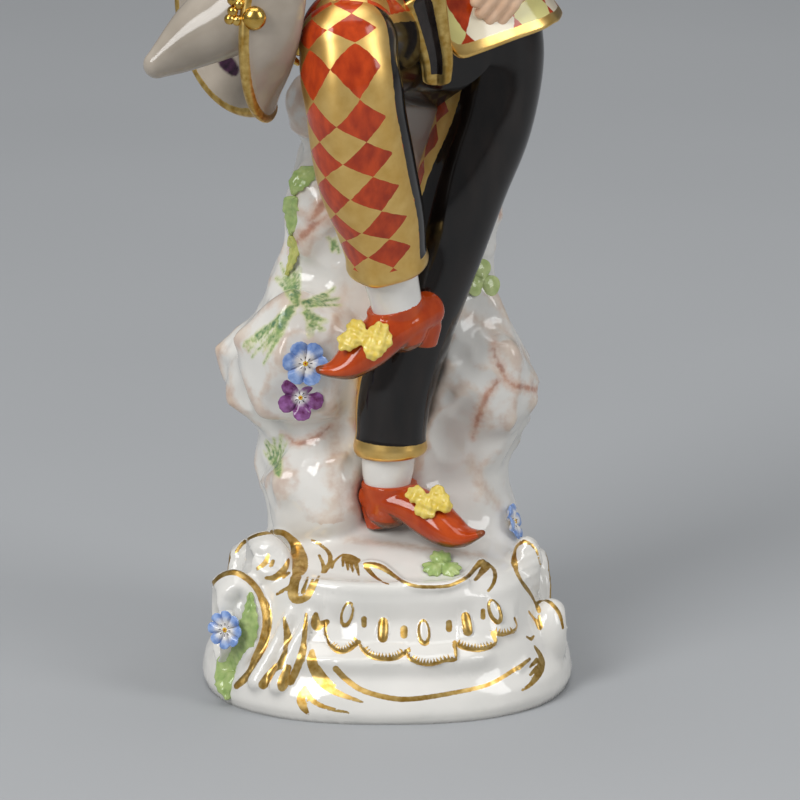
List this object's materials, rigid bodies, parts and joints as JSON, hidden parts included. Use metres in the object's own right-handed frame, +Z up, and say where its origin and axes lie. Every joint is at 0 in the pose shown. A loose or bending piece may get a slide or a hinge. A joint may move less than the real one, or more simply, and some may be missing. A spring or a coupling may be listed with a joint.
{
  "type": "commedia dell'arte figure",
  "caption": "Glazed porcelain harlequin in a lozenge suit, raising a leg and holding a hat, set against a flowered crag on an oval scrolled plinth.",
  "frame": {"origin": "middle of the plinth's flat underside", "axes": "+Z up, -Y towards the viewer in front of the figure, +X to the viewer's right"},
  "size_m": [0.082, 0.0646, 0.1907],
  "materials": {
    "white_glaze": "white hard-paste porcelain, clear glaze, gilt and enamel painting",
    "painted_glaze": "porcelain painted over the glaze in iron red, black, yellow and gold",
    "blue_petal_glaze": "porcelain petals, enamel blue with a yellow eye",
    "violet_petal_glaze": "porcelain petals, enamel violet",
    "leaf_glaze": "porcelain leaves, enamel yellow-green"
  },
  "bodies": {
    "root": {"rock_and_plinth": "white_glaze", "harlequin": "painted_glaze", "blue_flower_on_rock": "blue_petal_glaze", "violet_flower_on_rock": "violet_petal_glaze", "blue_flower_on_plinth": "blue_petal_glaze", "leaf_sprig_under_shoe": "leaf_glaze", "clover_sprig": "leaf_glaze", "blue_flower_at_right": "blue_petal_glaze", "violet_flower_on_back": "violet_petal_glaze", "leaf_on_plinth": "leaf_glaze", "leaf_spray_on_rock": "leaf_glaze", "leaf_on_back": "leaf_glaze"}
  },
  "joints": []
}
